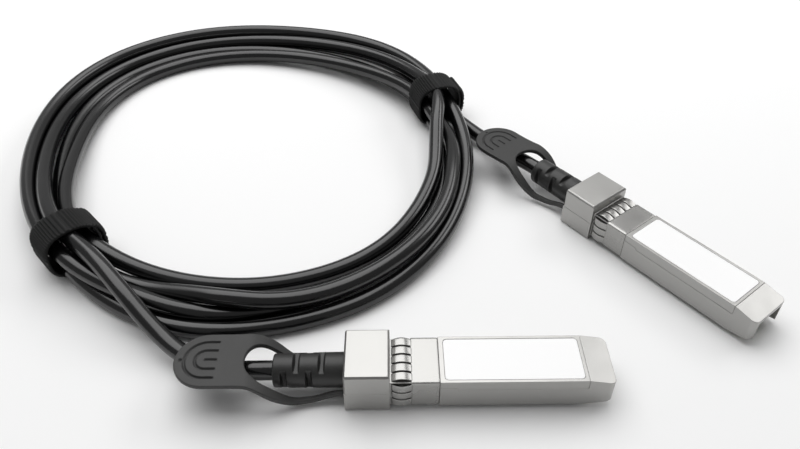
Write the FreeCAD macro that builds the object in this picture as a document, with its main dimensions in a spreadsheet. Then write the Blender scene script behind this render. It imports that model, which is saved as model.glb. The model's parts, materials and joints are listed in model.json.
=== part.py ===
import FreeCAD, Part
import math
import os
import re

import Sketcher

# Driving sizes in millimetres and degrees: name, value, what it measures.
# A plug is drawn along X, rear face of its grip block at x = 0, standing on z = 0.
SIZES = (
    ("body_width", 13.55, "plug body across the cage"),
    ("body_floor", 1.2, "height of the body's underside above the table"),
    ("body_top", 9.8, "height of the cover's top face"),
    ("plug_length", 62.6, "rear face of the block to the tip of the nose"),
    ("wall", 1.0, "side walls and floor of the die-cast shells"),
    ("roof", 1.2, "top wall of the cover"),
    ("block_length", 10.6, "grip block along the plug"),
    ("block_width", 14.5, "grip block across"),
    ("block_height", 12.4, "grip block, bottom to top"),
    ("block_seam", 6.2, "height of the joint between the block's two halves"),
    ("block_wall", 1.6, "rear wall of the block"),
    ("block_chamfer", 0.6, "chamfer along the block's bottom edges"),
    ("block_round", 0.45, "chamfer of the block's upper edges"),
    ("seam_front", 7.0, "height of the cover's side flaps along the body"),
    ("seam_rear", 7.7, "height of the flaps beside the collar"),
    ("seam_step", 26.0, "where the flap edge steps"),
    ("shell_gap", 0.04, "gap between the two shells at their end joints"),
    ("nose_length", 6.4, "nose ahead of the cover"),
    ("nose_drop", 1.15, "fall of the nose's top towards its tip"),
    ("nose_rise", 1.1, "rise of the nose's underside towards its tip"),
    ("nose_inside", 10.0, "width of the mouth round the card edge"),
    ("nose_roof", 7.5, "height of the mouth's ceiling"),
    ("nose_corner", 1.6, "rounding of the nose's front corners"),
    ("finger_gap", 0.4, "gap between the block and the tips of the spring fingers"),
    ("collar_band", 15.4, "where the fingers join the collar's band"),
    ("collar_end", 22.1, "front edge of the collar's seat"),
    ("collar_sheet", 0.3, "thickness of the collar's sheet"),
    ("collar_gap", 0.1, "gap between the collar and the shoulders beside it"),
    ("finger_width", 2.1, "width of a spring finger"),
    ("finger_pitch", 2.5, "spacing of the spring fingers"),
    ("finger_bow", 0.6, "height of a finger's bow"),
    ("finger_sheet", 0.22, "thickness of a finger"),
    ("label_start", 23.3, "rear edge of the label"),
    ("label_margin", 0.9, "metal left bare round the label"),
    ("label_corner", 1.0, "rounding of the label's corners"),
    ("label_recess", 0.2, "depth of the label's recess"),
    ("label_sheet", 0.14, "thickness of the label"),
    ("label_gap", 0.1, "gap round the label in its recess"),
    ("cable_height", 6.2, "height of the cable's axis at the plug"),
    ("cable_diameter", 4.7, "outside of the cable's jacket"),
    ("card_bottom", 5.0, "height of the ledges under the card"),
    ("card_sheet", 1.0, "thickness of the card"),
    ("card_edge_width", 9.2, "card edge that enters the socket"),
    ("card_start", 11.6, "rear edge of the card"),
    ("card_shoulder", 52.0, "where the card narrows"),
    ("card_set_back", 1.6, "card edge behind the nose's tip"),
    ("card_gap", 0.08, "gap between the card and the walls"),
    ("ledge", 0.85, "width of the ledges under the card"),
    ("contact_width", 0.56, "width of a contact pad"),
    ("contact_pitch", 0.8, "spacing of the contact pads"),
    ("contact_length", 3.2, "length of a contact pad"),
    ("contact_inset", 0.3, "contact pads behind the card's edge"),
    ("contact_sheet", 0.06, "thickness of a contact pad"),
    ("lens_start", 24.0, "rear face of the lens block"),
    ("lens_length", 5.2, "lens block along the plug"),
    ("lens_width", 4.6, "lens block across"),
    ("lens_height", 2.4, "lens block above the card"),
    ("driver_start", 31.0, "rear edge of the laser driver"),
    ("driver_side", 4.0, "laser driver, square"),
    ("driver_height", 0.9, "laser driver above the card"),
    ("controller_start", 41.0, "rear edge of the controller"),
    ("controller_side", 3.0, "controller, square"),
    ("controller_height", 0.8, "controller above the card"),
    ("fibre_diameter", 0.9, "buffered fibre"),
    ("fibre_spacing", 1.25, "spacing of the two fibres"),
    ("fibre_lift", 1.0, "fibres above the card"),
    ("sleeve_diameter", 5.8, "crimp sleeve"),
    ("sleeve_bore", 3.3, "bore of the crimp sleeve"),
    ("sleeve_length", 7.0, "crimp sleeve along the plug"),
    ("sleeve_end", 1.4, "closed rear end of the sleeve"),
    ("sleeve_gap", 0.15, "gap round the sleeve in the block"),
    ("neck_gap", 0.1, "gap round the boot's neck in the rear wall"),
    ("boot_diameter", 8.4, "boot at the block"),
    ("boot_tip", 7.9, "boot at its rear end"),
    ("boot_length", 16.7, "boot behind the block"),
    ("boot_core", 5.4, "core left inside the boot's slots"),
    ("boot_plain", 4.75, "plain stretch of the boot beside the block"),
    ("slot_width", 1.05, "width of a flex slot"),
    ("slot_pitch", 3.15, "spacing of the flex slots"),
    ("groove_inner", 4.0, "inner side of the slider's grooves"),
    ("groove_outer", 5.8, "outer side of the slider's grooves"),
    ("groove_top", 4.7, "height of the slider's grooves"),
    ("stop_sheet", 0.6, "thickness of the spring's stop"),
    ("stop_top", 2.7, "top of the spring's stop, under the tab's arms"),
    ("slider_sheet", 0.5, "thickness of the latch slider"),
    ("slider_low", 0.3, "slider's underside below the body"),
    ("slider_high", 3.45, "slider's underside inside the block"),
    ("slider_leg", 0.6, "width of a slider's leg"),
    ("slider_tail", 1.6, "slider's legs inside the tab's arms, behind the block"),
    ("slider_plate", 14.0, "rear edge of the slider's plate"),
    ("slider_tip", 28.6, "front tips of the slider"),
    ("slider_notch", 4.8, "notch between the slider's tips"),
    ("joggle_start", 5.4, "where the slider's legs bend down"),
    ("joggle_length", 3.8, "length of that bend"),
    ("lug_start", 4.9, "rear face of the slider's spring lugs"),
    ("boss_start", 23.4, "rear face of the latch boss"),
    ("boss_width", 3.8, "latch boss across"),
    ("boss_flat", 0.8, "flat of the latch boss"),
    ("boss_ramp", 2.4, "ramp of the latch boss"),
    ("boss_gap", 0.15, "latch boss above the table"),
    ("spring_sheet", 0.2, "thickness of the return springs' strip"),
    ("spring_fold", 1.4, "width of the return springs' folds"),
    ("spring_height", 1.2, "height of the return springs"),
    ("spring_lift", 1.0, "underside of the return springs"),
    ("spring_gap", 0.05, "gap at each end of a return spring"),
    ("tab_reach", 39.5, "tab's rear end behind the block"),
    ("tab_width", 15.0, "finger pad across"),
    ("tab_sheet", 1.2, "thickness of the finger pad"),
    ("tab_height", 8.7, "underside of the finger pad"),
    ("tab_bend", 20.8, "where the arms start to fall from the pad"),
    ("tab_shoulder", 25.0, "where the arms leave the pad"),
    ("arm_bow", 16.4, "outside of the arms at their widest"),
    ("arm_bow_start", 18.0, "where the arms are widest"),
    ("arm_low_start", 12.0, "rear end of the arms' lowest stretch"),
    ("arm_low_end", 7.5, "front end of the arms' lowest stretch"),
    ("arm_low", 1.4, "underside of the arms at their lowest"),
    ("arm_waist", 14.0, "outside of the arms where their lowest stretch starts"),
    ("arm_throat", 12.1, "outside of the arms where their lowest stretch ends"),
    ("arm_entry", 2.0, "where the arms run straight into the block"),
    ("arm_width", 1.2, "width of an arm"),
    ("arm_height", 1.4, "height of an arm"),
    ("arm_bottom", 3.0, "underside of an arm in its groove"),
    ("arm_depth", 4.0, "arms inside the block"),
    ("hole_rear", 23.2, "rear edge of the tab's hole"),
    ("hole_width", 11.4, "tab's hole at its widest"),
    ("grip_line", 0.5, "width of a grip groove"),
    ("grip_depth", 0.3, "depth of a grip groove"),
    ("grip_pitch", 2.5, "spacing of the grip grooves"),
    ("grip_first", 2.65, "radius of the inner grip groove"),
    ("grip_front", 29.4, "front ends of the grip grooves"),
    ("plug_b_x", 62.91, "plug B's rear face, across"),
    ("plug_b_y", 64.21, "plug B's rear face, away"),
    ("plug_b_turn", -52.35, "plug B's heading"),
    ("tail_straight", 4.6, "straight stretch of cable behind a boot"),
    ("coil_x", -41.8, "middle of the coil, across"),
    ("coil_y", 96.2, "middle of the coil, away"),
    ("coil_radius", 71.2, "mean radius of the coil"),
    ("coil_stretch", 5.96, "how far the coil is drawn out of round"),
    ("coil_heading", 116.8, "direction in which it is drawn out"),
    ("coil_three", 1.0, "how far it leans to a three-sided shape"),
    ("coil_three_heading", 19.4, "direction of one of those sides"),
    ("coil_four", 0.8, "how far it leans to a four-sided shape"),
    ("coil_four_heading", 42.3, "direction of one of those sides"),
    ("tie_left", 229.5, "direction of the left tie from the coil's middle"),
    ("tie_right", 19.0, "direction of the right tie from the coil's middle"),
    ("bundle_width", 12.8, "bundle of turns inside a tie, across"),
    ("bundle_height", 12.4, "bundle of turns inside a tie, bottom to top"),
    ("fan_inner_far", 11.0, "inward fanning of the turns on the far side"),
    ("fan_inner_near", 5.6, "inward fanning of the turns on the near side"),
    ("fan_outer", 1.0, "outward fanning of the turns"),
    ("fan_top_far", 9.8, "height of the fanned turns on the far side"),
    ("fan_top_near", 8.8, "height of the fanned turns on the near side"),
    ("strap_width", 11.0, "tie strap along the bundle"),
    ("strap_sheet", 1.5, "thickness of a tie strap"),
    ("strap_gap", 0.5, "slack of a tie strap round the bundle"),
    ("strap_corner", 5.2, "inner rounding of a tie strap"),
)

FINGERS_TOP = 5
FINGERS_SIDE = 3
CONTACTS_PER_SIDE = 10
FLEX_SLOT_ROWS = 4
GRIP_GROOVES = 2
SPRING_FOLDS = 4
FAR_STATIONS = 15
NEAR_STATIONS = 11
TIE_STATION = 5.5

# Stretches of cable that aren't coiled, chosen by hand from behind each boot to the bundle.
TAIL_A_ROUTE = (
    (-33.5, 0.75, 5.3), (-41.0, 3.55, 4.4), (-49.0, 9.5, 4.3), (-56.0, 16.5, 5.7), (-62.4, 23.3, 7.4),
)
TAIL_B_ROUTE = (
    (46.0, 86.2, 5.3), (40.8, 93.6, 4.1), (34.9, 102.5, 3.4), (29.1, 111.3, 3.5),
)

# Sizes that follow from others: the finger tips ahead of the block, the card between the side walls,
# and the label within its margins.
COLLAR_START = "(block_length + finger_gap)"
CARD_WIDTH = "(body_width - 2 * wall - 2 * card_gap)"
LABEL_WIDTH = "(body_width - 2 * label_margin)"

upright = FreeCAD.Vector(0, 0, 1)
NAMES = {name for name, value, meaning in SIZES}
doc = FreeCAD.newDocument("optical_cable")
sheet = doc.addObject("Spreadsheet::Sheet", "sizes")
parts = []


def fill_sheet():
    """Writes each driving size into its own aliased cell, beside its meaning."""
    for row, (name, value, meaning) in enumerate(SIZES, start=1):
        sheet.set("A%d" % row, meaning)
        sheet.set("B%d" % row, str(value))
        sheet.setAlias("B%d" % row, name)
    doc.recompute()


def bound(text):
    """The formula as an object outside the sheet has to write it."""
    return re.sub(r"[a-z_]+", lambda word: ("sizes." if word[0] in NAMES else "") + word[0], text)


def size(text):
    """The present value of a formula in the sheet's names."""
    return float(sheet.evalExpression(text))


def new_body(name):
    body = doc.addObject("PartDesign::Body", name)
    body.Label = name
    return body


def keep(piece, name, placement):
    """Gives a finished sub-part its label and place, and lists it for export."""
    piece.Label = name
    piece.Placement = placement
    parts.append(piece)


def sketch_on(body, plane, lift="0"):
    """A sketch on one of the body's own planes, moved along the plane's normal by lift."""
    sketch = body.newObject("Sketcher::SketchObject", "outline")
    support = next(item for item in body.Origin.OriginFeatures if item.Role == plane + "_Plane")
    sketch.AttachmentSupport = [(support, "")]
    sketch.MapMode = "FlatFace"
    sketch.setExpression("AttachmentOffset.Base.z", bound(lift))
    return sketch


def pin_point(sketch, line, end, x, y):
    """Binds one point of a line or arc to two formulas."""
    for kind, text in (("DistanceX", x), ("DistanceY", y)):
        number = sketch.addConstraint(Sketcher.Constraint(kind, -1, 1, line, end, size(text)))
        sketch.setExpression("Constraints[%d]" % number, bound(text))


def loop(sketch, corners):
    """One closed outline. A corner is (x, y), or (x, y, centre x) where an arc leads to the
    next corner. A half circle bulges to the right of the way round."""
    first = sketch.GeometryCount
    count = len(corners)
    points = [FreeCAD.Vector(size(corner[0]), size(corner[1]), 0) for corner in corners]
    starts = []
    for index, corner in enumerate(corners):
        here, there = points[index], points[(index + 1) % count]
        if len(corner) == 2:
            sketch.addGeometry(Part.LineSegment(here, there), False)
            starts.append((1, 2))
            continue
        middle = (here + there) * 0.5
        across = (there - here).cross(upright)
        offset = size(corner[2]) - middle.x
        centre = middle + across * (offset / across.x)
        radius = centre.distanceToPoint(here)
        outward = (middle - centre) if centre.distanceToPoint(middle) > radius * 0.01 else across
        top = centre + outward.normalize() * radius
        forward = (top - here).cross(there - top).z > 0
        first_end, last_end = (here, there) if forward else (there, here)
        spread = [math.atan2(end.y - centre.y, end.x - centre.x) for end in (first_end, last_end)]
        ring = Part.Circle(centre, upright, radius)
        sketch.addGeometry(Part.ArcOfCircle(ring, spread[0], spread[1]), False)
        starts.append((1, 2) if forward else (2, 1))
    for index, corner in enumerate(corners):
        following = (index + 1) % count
        sketch.addConstraint(Sketcher.Constraint(
            "Coincident", first + index, starts[index][1], first + following, starts[following][0]))
        pin_point(sketch, first + index, starts[index][0], corner[0], corner[1])
        if len(corner) == 3:
            number = sketch.addConstraint(Sketcher.Constraint(
                "DistanceX", -1, 1, first + index, 3, size(corner[2])))
            sketch.setExpression("Constraints[%d]" % number, bound(corner[2]))


def rectangle(sketch, x_low, x_high, y_low, y_high):
    loop(sketch, ((x_low, y_low), (x_high, y_low), (x_high, y_high), (x_low, y_high)))


def disc(sketch, x, y, radius):
    """One full circle bound to its centre and radius."""
    centre = FreeCAD.Vector(size(x), size(y), 0)
    circle = sketch.addGeometry(Part.Circle(centre, upright, size(radius)), False)
    pin_point(sketch, circle, 3, x, y)
    number = sketch.addConstraint(Sketcher.Constraint("Radius", circle, size(radius)))
    sketch.setExpression("Constraints[%d]" % number, bound(radius))


def extrude(body, sketch, length, kind="Pad", symmetric=False, backwards=False):
    """A Pad along the sketch's normal, or a Pocket against it."""
    feature = body.newObject("PartDesign::" + kind, kind.lower())
    feature.Profile = sketch
    feature.setExpression("Length", bound(length))
    feature.SideType = "Symmetric" if symmetric else "One side"
    feature.Reversed = backwards
    doc.recompute()
    return feature


def add_box(body, x_low, x_high, y_low, y_high, z_low, z_high):
    sketch = sketch_on(body, "XY", z_low)
    rectangle(sketch, x_low, x_high, y_low, y_high)
    return extrude(body, sketch, "%s - (%s)" % (z_high, z_low))


def cut_box(body, x_low, x_high, y_low, y_high, z_low, z_high):
    sketch = sketch_on(body, "XY", z_high)
    rectangle(sketch, x_low, x_high, y_low, y_high)
    return extrude(body, sketch, "%s - (%s)" % (z_high, z_low), "Pocket")


def half(width):
    """Low and high side of a width that is centred on the plug."""
    return "-(%s) / 2" % width, "(%s) / 2" % width


def smooth(body, kind, amount, test):
    """A Fillet or Chamfer on the edges of the body's tip that pass the test."""
    tip = body.Tip
    chosen = ["Edge%d" % (number + 1) for number, edge in enumerate(tip.Shape.Edges) if test(edge)]
    feature = body.newObject("PartDesign::" + kind, kind.lower())
    feature.Base = (tip, chosen)
    feature.setExpression("Radius" if kind == "Fillet" else "Size", bound(amount))
    doc.recompute()
    return feature


def runs_along(edge, axis):
    """True for a straight edge parallel to an axis, 0 to 2 for X to Z."""
    if edge.Degenerated or len(edge.Vertexes) != 2:
        return False
    span = edge.Vertexes[1].Point - edge.Vertexes[0].Point
    return abs(abs(span[axis]) - edge.Length) < 1e-6


def near(number, text):
    return abs(number - size(text)) < 1e-4


def cut_neck(body):
    """Sinks the shells under the collar by the collar's sheet, all the way round."""
    sketch = sketch_on(body, "YZ", "collar_end")
    rectangle(sketch, *half("block_width + 2"), "-1", "block_height + 1")
    rectangle(sketch, *half("body_width - 2 * collar_sheet"), "body_floor + collar_sheet",
              "body_top - collar_sheet")
    extrude(body, sketch, "collar_end - block_length", "Pocket")


def cut_cable_entry(body):
    """The round hole for the boot's neck in the block's rear wall."""
    sketch = sketch_on(body, "YZ", "block_wall")
    disc(sketch, "0", "cable_height", "sleeve_diameter / 2 + neck_gap")
    extrude(body, sketch, "block_wall", "Pocket")


def base_shell(name, place):
    """Die-cast lower shell: tray, nose, latch boss and the lower half of the block."""
    body = new_body(name)
    front = "plug_length - nose_length + shell_gap"
    sketch = sketch_on(body, "XZ")
    loop(sketch, (
        ("block_length", "body_floor"), ("plug_length - nose_length", "body_floor"),
        ("plug_length", "body_floor + nose_rise"), ("plug_length", "body_top - nose_drop"),
        (front, "body_top"), (front, "seam_front"), ("seam_step", "seam_front"),
        ("seam_step", "seam_rear"), ("block_length", "seam_rear")))
    extrude(body, sketch, "body_width", symmetric=True)
    smooth(body, "Fillet", "nose_corner",
           lambda edge: runs_along(edge, 2) and near(edge.CenterOfMass.x, "plug_length"))
    cut_neck(body)
    sketch = sketch_on(body, "YZ")
    low, high = half("block_width")
    loop(sketch, (
        (low + " + block_chamfer", "0"), (high + " - block_chamfer", "0"), (high, "block_chamfer"),
        (high, "block_seam"), (low, "block_seam"), (low, "block_chamfer")))
    extrude(body, sketch, "block_length")
    ledges = half("body_width - 2 * wall")
    tray = half("body_width - 2 * wall - 2 * ledge")
    cut_box(body, "block_length", "plug_length - nose_length", *ledges, "card_bottom", "seam_rear + 1")
    cut_box(body, "block_length", "plug_length - nose_length", *tray, "body_floor + wall", "card_bottom")
    cut_box(body, "block_wall", "block_length", *half("sleeve_diameter + 2 * sleeve_gap"),
            "cable_height - sleeve_diameter / 2 - sleeve_gap", "block_seam")
    cut_box(body, "plug_length - nose_length", "plug_length + 1", *half("nose_inside"), "0", "nose_roof")
    cut_cable_entry(body)
    for inner, outer in (("groove_inner", "groove_outer"), ("-groove_outer", "-groove_inner")):
        cut_box(body, "0", "stop_sheet", inner, outer, "stop_top", "groove_top")
        cut_box(body, "stop_sheet", "block_length - wall", inner, outer, "0", "groove_top")
        cut_box(body, "block_length - wall", "block_length", inner, outer, "0", "body_floor")
    sketch = sketch_on(body, "XZ")
    loop(sketch, (
        ("boss_start", "body_floor"), ("boss_start", "boss_gap"), ("boss_start + boss_flat", "boss_gap"),
        ("boss_start + boss_flat + boss_ramp", "body_floor")))
    extrude(body, sketch, "boss_width", symmetric=True)
    keep(body, name, place)


def cover_shell(name, place):
    """Die-cast upper shell: cover with side flaps, label recess and the block's upper half."""
    body = new_body(name)
    front = "plug_length - nose_length"
    sketch = sketch_on(body, "XZ")
    loop(sketch, (
        ("block_length", "seam_rear"), ("seam_step", "seam_rear"), ("seam_step", "seam_front"),
        (front, "seam_front"), (front, "body_top"), ("block_length", "body_top")))
    extrude(body, sketch, "body_width", symmetric=True)
    cut_neck(body)
    sketch = sketch_on(body, "YZ")
    low, high = half("block_width")
    rectangle(sketch, low, high, "block_seam", "block_height")
    extrude(body, sketch, "block_length")
    smooth(body, "Chamfer", "block_round", lambda edge: (
        near(edge.CenterOfMass.z, "block_height")
        or (runs_along(edge, 2) and near(edge.CenterOfMass.x, "0"))))
    inside = half("body_width - 2 * wall")
    cut_box(body, "block_wall", "block_length - wall", *inside, "block_seam", "block_height - block_wall")
    cut_box(body, "block_length - wall", front + " - wall", *inside, "block_seam", "body_top - roof")
    cut_cable_entry(body)
    sketch = sketch_on(body, "XY", "body_top")
    rectangle(sketch, "label_start - label_gap", front + " - label_margin + label_gap",
              *half(LABEL_WIDTH + " + 2 * label_gap"))
    extrude(body, sketch, "label_recess", "Pocket")
    smooth(body, "Fillet", "label_corner", lambda edge: (
        runs_along(edge, 2) and near(edge.CenterOfMass.z, "body_top - label_recess / 2")
        and abs(edge.CenterOfMass.y) < size(LABEL_WIDTH + " / 2 + 2 * label_gap")
        and edge.CenterOfMass.x > size("label_start - 2 * label_gap")
        and edge.CenterOfMass.x < size(front + " - label_gap")))
    keep(body, name, place)


def emi_collar(name, place):
    """Stamped collar: a band round the neck with rows of bowed spring fingers behind it."""
    body = new_body(name)
    sketch = sketch_on(body, "YZ", "collar_band")
    rectangle(sketch, *half("body_width"), "body_floor", "body_top")
    rectangle(sketch, *half("body_width - 2 * collar_sheet"), "body_floor + collar_sheet",
              "body_top - collar_sheet")
    extrude(body, sketch, "collar_end - collar_gap - collar_band")
    crown = "(%s + collar_band) / 2" % COLLAR_START

    def bow(face, side):
        """A finger's bent strip, seen along its width, on the face that it bulges from."""
        sheet_in = "%s - %s * finger_sheet" % (face, side)
        return (
            ("collar_band", sheet_in), ("collar_band", face),
            (crown + " + 0.8", "%s + %s * finger_bow" % (face, side)),
            (crown + " - 0.6", "%s + %s * finger_bow" % (face, side)),
            (COLLAR_START, face), (COLLAR_START, sheet_in),
            (crown + " - 0.6", "%s + %s * (finger_bow - finger_sheet)" % (face, side)),
            (crown + " + 0.8", "%s + %s * (finger_bow - finger_sheet)" % (face, side)))

    for number in range(FINGERS_TOP):
        middle = "finger_pitch * %s" % (number - (FINGERS_TOP - 1) / 2)
        sketch = sketch_on(body, "XZ", "-(%s) - finger_width / 2" % middle)
        loop(sketch, bow("body_top", "1"))
        extrude(body, sketch, "finger_width")
    for side in ("1", "-1"):
        for number in range(FINGERS_SIDE):
            middle = "(body_floor + body_top) / 2 + finger_pitch * %s" % (number - (FINGERS_SIDE - 1) / 2)
            sketch = sketch_on(body, "XY", middle + " - finger_width / 2")
            loop(sketch, bow("%s * body_width / 2" % side, side))
            extrude(body, sketch, "finger_width")
    keep(body, name, place)


def label(name, place):
    """Blank printed label with rounded corners, stuck in the cover's recess."""
    body = new_body(name)
    sketch = sketch_on(body, "XY", "body_top - label_recess")
    rectangle(sketch, "label_start", "plug_length - nose_length - label_margin", *half(LABEL_WIDTH))
    extrude(body, sketch, "label_sheet")
    smooth(body, "Fillet", "label_corner - label_gap", lambda edge: runs_along(edge, 2))
    keep(body, name, place)


def paddle_card(name, place):
    """Circuit card with the narrower edge that enters the socket."""
    body = new_body(name)
    sketch = sketch_on(body, "XY", "card_bottom")
    low, high = half(CARD_WIDTH)
    edge_low, edge_high = half("card_edge_width")
    tip = "plug_length - card_set_back"
    loop(sketch, (
        ("card_start", low), ("card_shoulder", low), ("card_shoulder", edge_low), (tip, edge_low),
        (tip, edge_high), ("card_shoulder", edge_high), ("card_shoulder", high), ("card_start", high)))
    extrude(body, sketch, "card_sheet")
    keep(body, name, place)


def box(x, y, z, length, width, height):
    """A Part box whose corner and sides are bound to formulas."""
    piece = doc.addObject("Part::Box", "box")
    for field, text in (("Placement.Base.x", x), ("Placement.Base.y", y), ("Placement.Base.z", z),
                        ("Length", length), ("Width", width), ("Height", height)):
        piece.setExpression(field, bound(text))
    return piece


def group(name, pieces, place):
    """Like solids that share one node."""
    compound = doc.addObject("Part::Compound", name)
    compound.Links = pieces
    keep(compound, name, place)


def edge_contacts(name, place):
    """Two rows of gold contact pads on the card's edge."""
    pads = []
    start = "plug_length - card_set_back - contact_inset - contact_length"
    for level in ("card_bottom - contact_sheet", "card_bottom + card_sheet"):
        for number in range(CONTACTS_PER_SIDE):
            side = "contact_pitch * %s - contact_width / 2" % (number - (CONTACTS_PER_SIDE - 1) / 2)
            pads.append(box(start, side, level, "contact_length", "contact_width", "contact_sheet"))
    group(name, pads, place)


def lens_block(name, place):
    """Moulded lens over the lasers, its top cut at an angle to turn the light to the fibres."""
    body = new_body(name)
    sketch = sketch_on(body, "XZ")
    floor = "card_bottom + card_sheet"
    loop(sketch, (
        ("lens_start", floor), ("lens_start + lens_length", floor),
        ("lens_start + lens_length", floor + " + lens_height / 2"),
        ("lens_start + lens_length - lens_height / 2", floor + " + lens_height"),
        ("lens_start", floor + " + lens_height")))
    extrude(body, sketch, "lens_width", symmetric=True)
    keep(body, name, place)


def chip(name, place, kind):
    """A packaged circuit on the card's upper face."""
    piece = box(kind + "_start", "-%s_side / 2" % kind, "card_bottom + card_sheet",
                kind + "_side", kind + "_side", kind + "_height")
    doc.recompute()
    keep(piece, name, place.multiply(piece.Placement))
    for axis in "xyz":
        piece.setExpression("Placement.Base." + axis, None)


def fibre_pair(name, place):
    """Send and receive fibres from the cable's end to the lens block."""
    fibres = []
    for side in ("-1", "1"):
        fibre = doc.addObject("Part::Cylinder", "fibre")
        fibre.Placement = FreeCAD.Placement(
            FreeCAD.Vector(), FreeCAD.Rotation(FreeCAD.Vector(0, 1, 0), 90))
        for field, text in (
                ("Radius", "fibre_diameter / 2"),
                ("Height", "lens_start - block_wall - sleeve_end - neck_gap"),
                ("Placement.Base.x", "block_wall + sleeve_end + neck_gap"),
                ("Placement.Base.y", side + " * fibre_spacing / 2"),
                ("Placement.Base.z", "card_bottom + card_sheet + fibre_lift")):
            fibre.setExpression(field, bound(text))
        fibres.append(fibre)
    group(name, fibres, place)


def turned(body, outline):
    """A Revolution about the cable's axis of an outline given as (along, radius)."""
    sketch = sketch_on(body, "XZ")
    loop(sketch, outline)
    feature = body.newObject("PartDesign::Revolution", "revolution")
    feature.Profile = sketch
    feature.ReferenceAxis = (sketch, ["H_Axis"])
    feature.Angle = 360
    doc.recompute()


def on_cable_axis(place):
    """The place of a piece that is drawn about the cable's axis."""
    return place.multiply(FreeCAD.Placement(FreeCAD.Vector(0, 0, size("cable_height")), FreeCAD.Rotation()))


def crimp_sleeve(name, place):
    """Turned sleeve that grips the cable's end, with the fibres coming out of its bore."""
    body = new_body(name)
    start = "block_wall + neck_gap"
    end = start + " + sleeve_length"
    bottom = start + " + sleeve_end"
    turned(body, (
        (start, "0"), (start, "sleeve_diameter / 2"), (end, "sleeve_diameter / 2"),
        (end, "sleeve_bore / 2"), (bottom, "sleeve_bore / 2"), (bottom, "0")))
    keep(body, name, on_cable_axis(place))


def boot(name, place):
    """Moulded strain relief: a tapered boot with staggered rows of flex slots."""
    body = new_body(name)
    neck_end = "block_wall + neck_gap"
    turned(body, (
        ("-boot_length", "0"), ("-boot_length", "boot_tip / 2 - 0.4"), ("-boot_length + 0.4", "boot_tip / 2"),
        ("0", "boot_diameter / 2"), ("0", "sleeve_diameter / 2"), (neck_end, "sleeve_diameter / 2"),
        (neck_end, "0")))
    for plane, first_row in (("XZ", 0), ("XY", 1)):
        sketch = sketch_on(body, plane)
        for row in range(first_row, FLEX_SLOT_ROWS, 2):
            front = "-(boot_plain + slot_pitch * %d)" % row
            for side in ("1", "-1"):
                rectangle(sketch, front + " - slot_width", front,
                          side + " * boot_core / 2", side + " * boot_diameter")
        extrude(body, sketch, "2 * boot_diameter", "Pocket", symmetric=True)
    keep(body, name, on_cable_axis(place))


def pull_tab(name, place):
    """Moulded pull tab: finger pad, hole for the cable, and two arms that fall to the block."""
    body = new_body(name)
    top = "tab_height + tab_sheet"
    arm_top = "arm_bottom + arm_height"
    low_top = "arm_low + arm_height"
    sketch = sketch_on(body, "XZ")
    loop(sketch, (
        ("-tab_reach", "tab_height"), ("-tab_bend", "tab_height"), ("-arm_low_start", "arm_low"),
        ("-arm_low_end", "arm_low"), ("-arm_entry", "arm_bottom"), ("arm_depth", "arm_bottom"),
        ("arm_depth", arm_top), ("-arm_entry", arm_top), ("-arm_low_end", low_top),
        ("-arm_low_start", low_top), ("-tab_bend + tab_sheet / 2", top), ("-tab_reach", top)))
    extrude(body, sketch, "2 * tab_width", symmetric=True)
    middle = "(groove_inner + groove_outer) / 2"
    inner, outer = middle + " - arm_width / 2", middle + " + arm_width / 2"
    round_centre = "-tab_reach + tab_width / 2"
    hole_centre = "-hole_rear + hole_width / 2"
    flank = (
        ("-tab_shoulder", "tab_width / 2"), ("-arm_bow_start", "arm_bow / 2"),
        ("-arm_low_start", "arm_waist / 2"), ("-arm_low_end", "arm_throat / 2"), ("-arm_entry", outer),
        ("arm_depth", outer), ("arm_depth", inner), ("-arm_entry", inner),
        ("-arm_low_end", "arm_throat / 2 - arm_width"), ("-arm_low_start", "arm_waist / 2 - arm_width"))
    sketch = sketch_on(body, "XY", "block_height")
    rectangle(sketch, "-tab_reach - 3", "arm_depth + 3", "-tab_width", "tab_width")
    loop(sketch, (
        (round_centre, "tab_width / 2", round_centre), (round_centre, "-tab_width / 2"),
        *[(x, "-(%s)" % y) for x, y in flank],
        (hole_centre, "-hole_width / 2", hole_centre), ("-hole_rear", "0", hole_centre),
        (hole_centre, "hole_width / 2"), *reversed(flank)))
    extrude(body, sketch, "block_height + 1", "Pocket")
    sketch = sketch_on(body, "XY", top)
    for number in range(GRIP_GROOVES):
        near_side = "grip_first + grip_pitch * %d - grip_line / 2" % number
        far_side = near_side + " + grip_line"
        loop(sketch, (
            (round_centre, far_side, round_centre), (round_centre, "-(%s)" % far_side),
            ("-grip_front", "-(%s)" % far_side), ("-grip_front", "-(%s)" % near_side),
            (round_centre, "-(%s)" % near_side, round_centre),
            (round_centre + " - (%s)" % near_side, "0", round_centre), (round_centre, near_side),
            ("-grip_front", near_side), ("-grip_front", far_side)))
    rectangle(sketch, round_centre, "-grip_front", *half("grip_line"))
    extrude(body, sketch, "grip_depth", "Pocket")
    for side in ("1", "-1"):
        leg = "%s * (%s)" % (side, middle)
        cut_box(body, "-slider_tail", "arm_depth + 1", leg + " - slider_leg / 2", leg + " + slider_leg / 2",
                "slider_high", "slider_high + slider_sheet")
    keep(body, name, place)


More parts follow.
